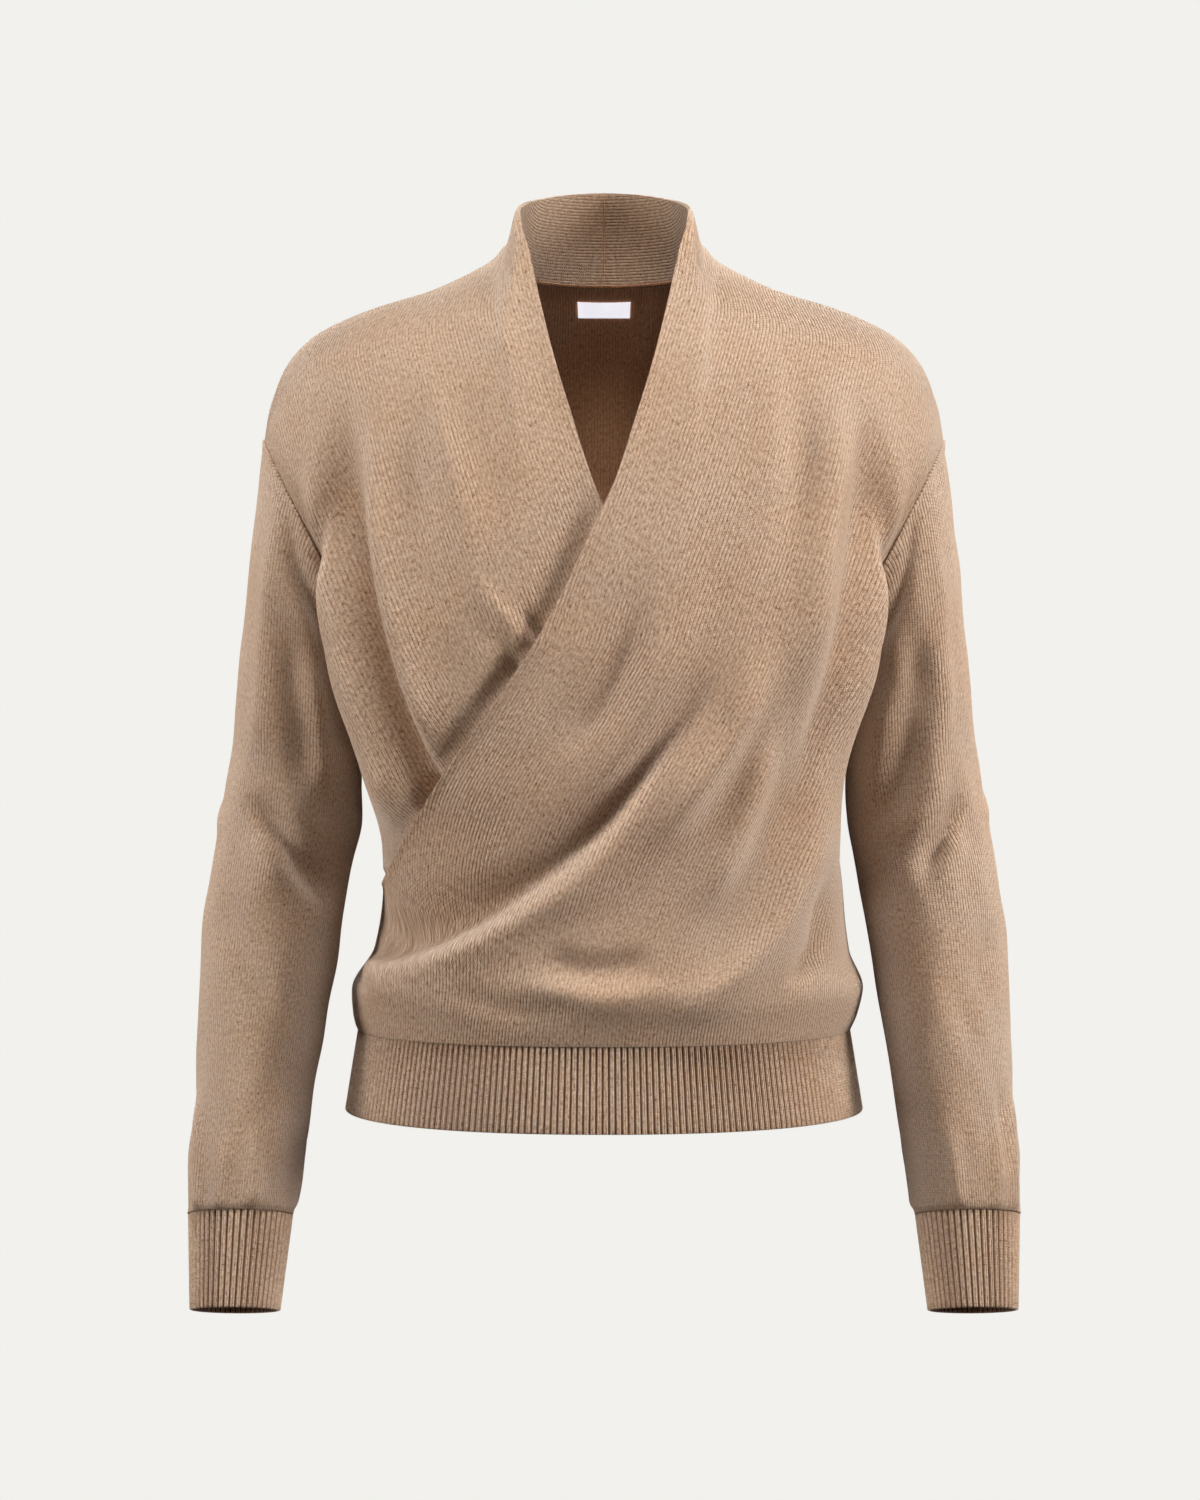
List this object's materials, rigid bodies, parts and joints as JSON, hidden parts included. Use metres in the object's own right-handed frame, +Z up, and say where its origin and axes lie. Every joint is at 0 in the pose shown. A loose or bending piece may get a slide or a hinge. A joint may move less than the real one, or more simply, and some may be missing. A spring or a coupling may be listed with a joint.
{
  "type": "v-neck jumper",
  "caption": "Wrap-front V-neck jumper in fine knit with a grown-on stand collar, dropped shoulders and ribbed hem and cuffs, filled out as worn.",
  "frame": {"origin": "the middle of the neck base, level with the points where the collar leaves the shoulders, where the wearer's shoulders hold the jumper up", "axes": "+Z up, -Y to the wearer's front, +X to the wearer's left"},
  "size_m": [0.506, 0.2315, 0.6952],
  "materials": {
    "knit": "fine brushed cashmere stocking stitch in camel, soft nap",
    "rib": "fine cashmere rib in camel",
    "label": "white woven satin tape, blank"
  },
  "bodies": {
    "root": {"back": "knit", "front_right_under": "knit", "front_left_over": "knit", "sleeve_right": "knit", "sleeve_left": "knit", "cuff_right": "rib", "cuff_left": "rib", "hem_rib": "rib", "neck_label": "label"}
  },
  "joints": []
}
